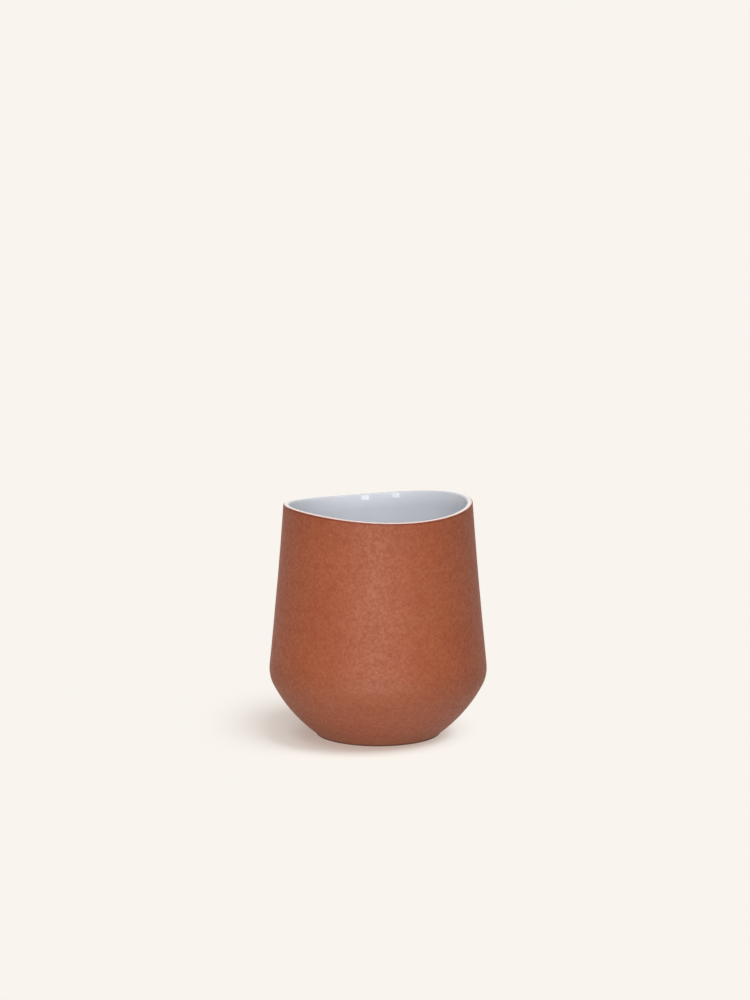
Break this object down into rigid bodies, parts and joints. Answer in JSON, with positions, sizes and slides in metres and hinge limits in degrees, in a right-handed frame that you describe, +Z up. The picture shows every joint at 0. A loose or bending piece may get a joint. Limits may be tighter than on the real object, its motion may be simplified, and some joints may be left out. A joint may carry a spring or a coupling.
{
  "type": "drinking cup",
  "caption": "Handleless drinking cup with a rounded belly, a narrow foot and a wavy lip: bare red clay outside, pale glossy glaze inside and over the lip.",
  "frame": {"origin": "centre of the foot, on the surface that the cup stands on", "axes": "+Z up along the cup's axis; -Y towards the viewer of the picture and +X to the viewer's right"},
  "size_m": [0.0842, 0.0842, 0.0912],
  "materials": {
    "red_clay": "matte",
    "pale_glaze": "gloss"
  },
  "bodies": {
    "root": {"clay_body": "red_clay", "inner_glaze": "pale_glaze"}
  },
  "joints": []
}
